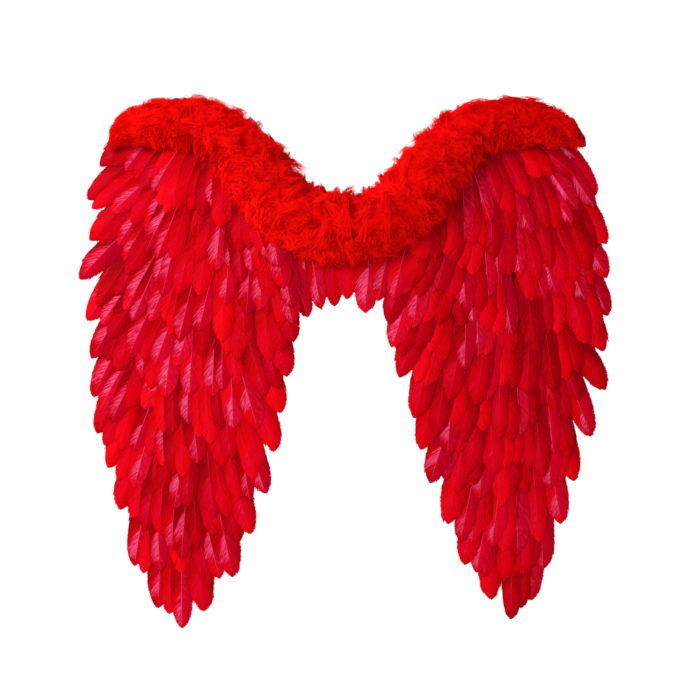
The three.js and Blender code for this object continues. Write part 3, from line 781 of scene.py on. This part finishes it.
def stitches(made, path, depth, pitch=STITCH_PITCH):
    """A row of stitches on the back of the felt: threads that dip into it at both ends."""
    length = np.linalg.norm(np.diff(path, axis=0), axis=1).sum()
    knots = evenly(path, max(3, int(length / pitch) + 1))
    ahead = np.diff(knots, axis=0)
    ahead /= np.linalg.norm(ahead, axis=1, keepdims=True)
    centre = (knots[1:] + knots[:-1]) / 2
    run = np.array([-0.5, -0.36, 0, 0.36, 0.5]) * 0.72 * pitch
    thick = np.array([0.25, 0.8, 1, 0.8, 0.25]) * THREAD
    rise = np.array([-0.25, 0.2, 0.32, 0.2, -0.25])
    turn = np.linspace(0, 2 * math.pi, 6, endpoint=False)
    beside = np.stack([-ahead[:, 1], ahead[:, 0]], 1)
    for spot, along, aside in zip(centre, ahead, beside):
        across = thick[:, None] * np.cos(turn)
        flat = spot + along * run[:, None, None] + aside * across[..., None]
        z = depth - rise[:, None] - thick[:, None] * np.sin(turn)
        points, quads = closed(np.concatenate([flat, z[..., None]], -1))
        made.add(points, quads)


def inside(points, outline, margin):
    """Which points lie inside an outline and more than margin from it."""
    far = np.linalg.norm(points[:, None, :] - outline[None], axis=2).min(1) > margin
    return far & within(points[:, 0], points[:, 1], outline)


def inset(outline, distance):
    """An outline moved inwards, without the parts where it would cross itself."""
    along = np.roll(outline, -1, 0) - np.roll(outline, 1, 0)
    along /= np.linalg.norm(along, axis=1, keepdims=True)
    normal = np.stack([-along[:, 1], along[:, 0]], 1)
    x, y = outline[:, 0], outline[:, 1]
    turn = np.sign((x * np.roll(y, -1) - y * np.roll(x, -1)).sum())
    moved = outline + turn * distance * normal
    return moved[inside(moved, outline, 0.9 * distance)]


def panel(side, word, felt, thread):
    outline = panel_outline(side, 260)
    tip = np.argmin(outline[:, 1])
    top, low = evenly(outline[:tip + 1], FELT_ALONG), evenly(outline[tip:][::-1], FELT_ALONG)
    for chain in (top, low):
        chain[-1] = lerp(chain[-1], chain[-2], 0.2)
    sheet = felt_sheet(top, low, PANEL_BACK, PANEL_FRONT)
    piece = solid_piece(f"felt_{word}", sheet, felt, [f"wing_panel_{word}"])
    sewn = Gathered()
    stitches(sewn, inset(outline, 6), PANEL_BACK)
    for index in range(len(ROWS)):
        row = row_feathers(index, side)
        spots = [on_feather(end, angle, 0, SEWN_AT * length) for end, angle, _, length in row]
        spots = np.pad(spots, ((1, 1), (0, 0)), mode="reflect", reflect_type="odd")
        spots = (spots[:-2] + spots[1:-1] + spots[2:]) / 3
        line = evenly(curve_through(spots, 200), 120)
        line = line[inside(line, outline, 11)]
        if len(line) > 12:
            stitches(sewn, line, PANEL_BACK, 1.4 * STITCH_PITCH)
    seam = solid_piece(f"stitching_{word}", sewn, thread)


def band(felt, thread):
    half_w, half_h = BAND_WIDTH / 2, BAND_HEIGHT / 2
    x = half_w * np.sin(np.linspace(-math.pi / 2, math.pi / 2, 90))
    past = np.maximum(0, np.abs(x) - (half_w - BAND_CORNER))
    high = half_h - BAND_CORNER + np.sqrt(np.maximum(0, BAND_CORNER**2 - past**2))
    top, low = np.stack([x, high], 1), np.stack([x, -high], 1)
    sheet = felt_sheet(top, low, 0, BAND_THICKNESS)
    piece = solid_piece("joining_band", sheet, felt, ["centre_band"])
    outline = np.concatenate([top, low[::-1]])
    sewn = Gathered()
    edge = inset(evenly(np.concatenate([outline, outline[:1]]), 300), 4.5)
    depth = 0.25
    stitches(sewn, np.concatenate([edge, edge[:1]]), depth)
    # At both ends of the band, a line and a cross hold the panel.
    high_end = half_h - 6
    for hand in (-1, 1):
        near, far = hand * 30, hand * (half_w - 5)
        for rise in (-high_end, high_end):
            stitches(sewn, np.array([[near, -rise], [far, rise]]), depth)
        stitches(sewn, np.array([[near, -high_end], [near, high_end]]), depth)
    seam = solid_piece("stitching_band", sewn, thread)


def strap_path():
    """The middle of a strap, seen from its side, as depth and height."""
    height = STRAP_TOP - STRAP_BOTTOM
    flush = BAND_THICKNESS - STRAP_THICKNESS / 2
    upper = [(flush, STRAP_TOP - share * STRAP_TAB) for share in (1, 0.5, 0)]
    loop = [(-back * STRAP_REACH, STRAP_BOTTOM + up * height) for back, up in STRAP_LOOP]
    lower = [(flush, STRAP_BOTTOM + share * STRAP_TAB) for share in (0, 0.5, 1)]
    fine = curve_through(upper + loop + lower, 800)
    fine[:, 0] = np.minimum(fine[:, 0], flush)
    return evenly(fine, STRAP_ALONG)


def strap(side, word, elastic, thread):
    path = strap_path()
    along = np.gradient(path, axis=0)
    along /= np.linalg.norm(along, axis=1, keepdims=True)
    across = np.linspace(-1, 1, 4 * STRAP_RIBS + 1)
    edge = np.clip((np.abs(across) - 0.93) / 0.07, 0, 1)
    rib = 0.84 + 0.16 * np.cos(math.pi * across * STRAP_RIBS) - 0.5 * edge
    faces = []
    for hand in (1, -1):
        offset = hand * rib[None, :] * STRAP_THICKNESS / 2
        z = path[:, :1] - along[:, 1:] * offset
        y = path[:, 1:] + along[:, :1] * offset
        x = side * STRAP_X + across[None, :] * STRAP_WIDTH / 2 + 0 * y
        faces.append(np.stack([x, y, z], -1))
    points, quads = closed(np.concatenate([faces[0], faces[1][:, ::-1]], 1))
    run = np.repeat(lengths(path), 2 * len(across))
    made = Gathered()
    # Painted shade: the grooves between the ribs are painted darker.
    ridge = 0.5 + 0.3 * np.cos(math.pi * np.concatenate([across, across[::-1]]) * STRAP_RIBS)
    shade = np.tile(ridge, len(path))
    made.add(points, quads, uv=np.stack([points[:, 0], run], 1) / 100, shade=shade)
    solid_piece(f"elastic_{word}", made, elastic, [f"strap_{word}"])
    sewn = Gathered()
    # Both ends are sewn on with a crossed box of stitches.
    half, near, far = 7.0, 6.0, 24.0
    x_low, x_high = side * STRAP_X - half, side * STRAP_X + half
    depth = BAND_THICKNESS - STRAP_THICKNESS
    for y_low, y_high in ((STRAP_TOP - far, STRAP_TOP - near), (STRAP_BOTTOM + near, STRAP_BOTTOM + far)):
        box = np.array([[x_low, y_low], [x_high, y_low], [x_high, y_high], [x_low, y_high]])
        for one, other in ((0, 1), (1, 2), (2, 3), (3, 0), (0, 2), (1, 3)):
            stitches(sewn, box[[one, other]], depth, 3.5)
    solid_piece(f"stitching_strap_{word}", sewn, thread)


# Materials

class Material:
    """A material with one shader, put together node by node."""

    def __init__(self, name, roughness, **sockets):
        self.made = bpy.data.materials.new(name)
        self.made.use_nodes = True
        self.nodes, self.links = self.made.node_tree.nodes, self.made.node_tree.links
        self.shader = self.nodes["Principled BSDF"]
        self.shader.inputs["Roughness"].default_value = roughness
        for socket, value in sockets.items():
            self.shader.inputs[socket.replace("_", " ")].default_value = value

    def uv(self):
        return self.nodes.new("ShaderNodeUVMap").outputs["UV"]

    def place(self):
        return self.nodes.new("ShaderNodeTexCoord").outputs["Object"]

    def attribute(self, name):
        made = self.nodes.new("ShaderNodeAttribute")
        made.attribute_name = name
        return made.outputs["Fac"]

    def texture(self, coordinates, scale, detail, stretch=(1, 1, 1)):
        mapping = self.nodes.new("ShaderNodeMapping")
        mapping.inputs["Scale"].default_value = stretch
        made = self.nodes.new("ShaderNodeTexNoise")
        made.inputs["Scale"].default_value = scale
        made.inputs["Detail"].default_value = detail
        self.links.new(coordinates, mapping.inputs["Vector"])
        self.links.new(mapping.outputs["Vector"], made.inputs["Vector"])
        return made.outputs["Fac"]

    def maths(self, operation, a, b=0):
        made = self.nodes.new("ShaderNodeMath")
        made.operation = operation
        for socket, value in zip(made.inputs, (a, b)):
            if isinstance(value, (int, float)):
                socket.default_value = value
            else:
                self.links.new(value, socket)
        return made.outputs[0]

    def times(self, a, b):
        return self.maths("MULTIPLY", a, b)

    def varied(self, value, texture):
        """A value made a little uneven by a texture, whose own middle is a half."""
        return self.maths("SUBTRACT", self.maths("ADD", value, self.times(texture, 0.5)), 0.25)

    def ramp(self, value, *stops):
        made = self.nodes.new("ShaderNodeValToRGB")
        elements = made.color_ramp.elements
        while len(elements) < len(stops):
            elements.new(0.5)
        for element, (position, colour) in zip(elements, stops):
            element.position = position
            element.color = (*colour, 1)
        self.links.new(value, made.inputs["Fac"])
        return made.outputs["Color"]

    def blend(self, share, a, b):
        """Goes from one colour, from a socket, to another one."""
        made = self.nodes.new("ShaderNodeMix")
        made.data_type = "RGBA"
        self.links.new(share, made.inputs["Factor"])
        self.links.new(a, made.inputs["A"])
        made.inputs["B"].default_value = (*b, 1)
        return made.outputs["Result"]

    def finish(self, colour, height=None, distance=0):
        """Joins a colour and a bump, whose distance is in metres, to the shader."""
        self.links.new(colour, self.shader.inputs["Base Color"])
        if height:
            made = self.nodes.new("ShaderNodeBump")
            made.inputs["Distance"].default_value = distance
            self.links.new(height, made.inputs["Height"])
            self.links.new(made.outputs["Normal"], self.shader.inputs["Normal"])
        return self.made


def feather_material():
    feather = Material("dyed_feather", 0.45, Specular_IOR_Level=0.3, Specular_Tint=(1, 0.03, 0.09, 1))
    uv = feather.uv()
    streak = feather.texture(uv, 1, 4, (60, 7, 1))
    fine = feather.texture(uv, 1, 2, (240, 10, 1))
    dyed = feather.ramp(
        feather.varied(feather.attribute("shade"), streak),
        (0.0, (0.3, 0.0, 0.001)), (0.35, (0.55, 0.0, 0.002)), (0.7, (0.77, 0.0, 0.003)),
        (1.0, (0.9, 0.003, 0.008)),
    )
    # The painted sheen goes over crimson to a pink painted highlight, and its grain follows the barbs.
    pale = feather.attribute("pale")
    crimson = feather.blend(feather.times(pale, 2.5), dyed, (0.64, 0.0, 0.022))
    coarse = feather.maths("SUBTRACT", feather.times(streak, 5), 1.6)
    grain = feather.maths("MINIMUM", feather.maths("MAXIMUM", coarse, 0.25), 1.5)
    pink = feather.maths("SUBTRACT", feather.times(pale, grain), 0.3)
    colour = feather.blend(pink, crimson, (0.87, 0.1, 0.24))
    return feather.finish(colour, feather.maths("ADD", fine, streak), 0.0002)


def down_material():
    down = Material("marabou_down", 0.95, Specular_IOR_Level=0.05)
    cloudy = down.texture(down.uv(), 9, 2)
    colour = down.ramp(
        down.varied(down.attribute("shade"), cloudy),
        (0.0, (0.56, 0.0, 0.0)), (0.5, (0.84, 0.001, 0.001)), (0.9, (1.0, 0.004, 0.003)),
    )
    return down.finish(colour)


def felt_material():
    felt = Material(
        "red_felt", 0.95, Sheen_Weight=0.15, Sheen_Roughness=0.5, Sheen_Tint=(1, 0.1, 0.12, 1),
        Specular_IOR_Level=0.08,
    )
    place_of = felt.place()
    fibres = felt.texture(place_of, 900, 5)
    clouds = felt.texture(place_of, 60, 3)
    tone = felt.maths("ADD", felt.times(fibres, 0.6), felt.times(clouds, 0.4))
    colour = felt.ramp(tone, (0.3, (0.3, 0.002, 0.008)), (0.7, (0.5, 0.006, 0.018)))
    return felt.finish(colour, fibres, 0.00018)


def thread_material():
    thread = Material("sewing_thread", 0.6, Specular_IOR_Level=0.2)
    twist = thread.texture(thread.place(), 1500, 2)
    colour = thread.ramp(twist, (0.35, (0.6, 0.004, 0.012)), (0.65, (0.85, 0.02, 0.04)))
    return thread.finish(colour, twist, 0.00008)


def elastic_material():
    elastic = Material("woven_elastic", 0.85, Specular_IOR_Level=0.06)
    uv = elastic.uv()
    parts = elastic.nodes.new("ShaderNodeSeparateXYZ")
    elastic.links.new(uv, parts.inputs["Vector"])
    waves = [
        elastic.maths("SINE", elastic.times(parts.outputs[axis], turns))
        for axis, turns in (("X", 440), ("Y", 500))
    ]
    weave = elastic.times(*waves)
    worn = elastic.texture(uv, 1, 3, (30, 4, 1))
    # The shade attribute brings a painted shade into the grooves between the ribs.
    weave_and_groove_shade = elastic.maths("ADD", elastic.attribute("shade"), elastic.times(weave, 0.1))
    colour = elastic.ramp(
        elastic.varied(weave_and_groove_shade, worn), (0.1, (0.26, 0.0, 0.002)), (0.9, (0.62, 0.002, 0.006)),
    )
    return elastic.finish(colour, weave, 0.00009)


# Light and camera

def area_light(name, location, aim, size, energy):
    light = bpy.data.lights.new(name, "AREA")
    light.size = size
    light.energy = energy
    lamp = add_object(name, light)
    lamp.location = location
    lamp.rotation_euler = (Vector(aim) - Vector(location)).to_track_quat("-Z", "Y").to_euler()


def sky():
    """A soft even light, seen by the camera as plain white."""
    world = bpy.data.worlds.new("studio")
    bpy.context.scene.world = world
    world.use_nodes = True
    nodes, links = world.node_tree.nodes, world.node_tree.links
    soft, white = nodes["Background"], nodes.new("ShaderNodeBackground")
    for background, strength in ((soft, 0.3), (white, 1.05)):
        background.inputs["Color"].default_value = (1, 1, 1, 1)
        background.inputs["Strength"].default_value = strength
    path = nodes.new("ShaderNodeLightPath")
    mix = nodes.new("ShaderNodeMixShader")
    links.new(path.outputs["Is Camera Ray"], mix.inputs["Fac"])
    links.new(soft.outputs["Background"], mix.inputs[1])
    links.new(white.outputs["Background"], mix.inputs[2])
    links.new(mix.outputs["Shader"], nodes["World Output"].inputs["Surface"])


def pale_floor():
    radius, height, corners = 1.2, -0.75, 96
    turns = np.linspace(0, 2 * math.pi, corners, endpoint=False)
    mesh = bpy.data.meshes.new("floor")
    mesh.from_pydata(
        [(radius * math.cos(a), radius * math.sin(a), height) for a in turns], [], [list(range(corners))],
    )
    mesh.materials.append(Material("pale_floor", 0.8, Base_Color=(0.9, 0.9, 0.9, 1)).made)
    add_object("floor", mesh)


def studio():
    sky()
    middle = (0, 0, -0.14)
    area_light("key", (-1.6, -1.4, 0.9), middle, 0.9, 50)
    area_light("fill", (1.0, -2.4, 0.1), middle, 1.6, 9)
    area_light("back", (-0.8, 1.8, 0.8), middle, 1.2, 30)
    pale_floor()


def camera():
    lens = bpy.data.cameras.new("camera")
    lens.lens = 135
    lens.sensor_width = 36
    seen = 0.857          # width of the view at the feathers, in metres
    eye = add_object("camera", lens)
    eye.location = (0.0067, -0.015 - seen * lens.lens / lens.sensor_width, -0.1406)
    eye.rotation_euler = (math.pi / 2, 0, 0)
    bpy.context.scene.camera = eye


bpy.context.scene.view_settings.view_transform = "Standard"
camera()
studio()
surface = Surface()
for side in (-1, 1):
    surface.lay_outline(panel_outline(side), PANEL_FRONT)
feathers(surface, feather_material())
boa(surface, down_material())
felt, thread, elastic = felt_material(), thread_material(), elastic_material()
band(felt, thread)
for side, word in ((-1, "left"), (1, "right")):
    panel(side, word, felt, thread)
    strap(side, word, elastic, thread)
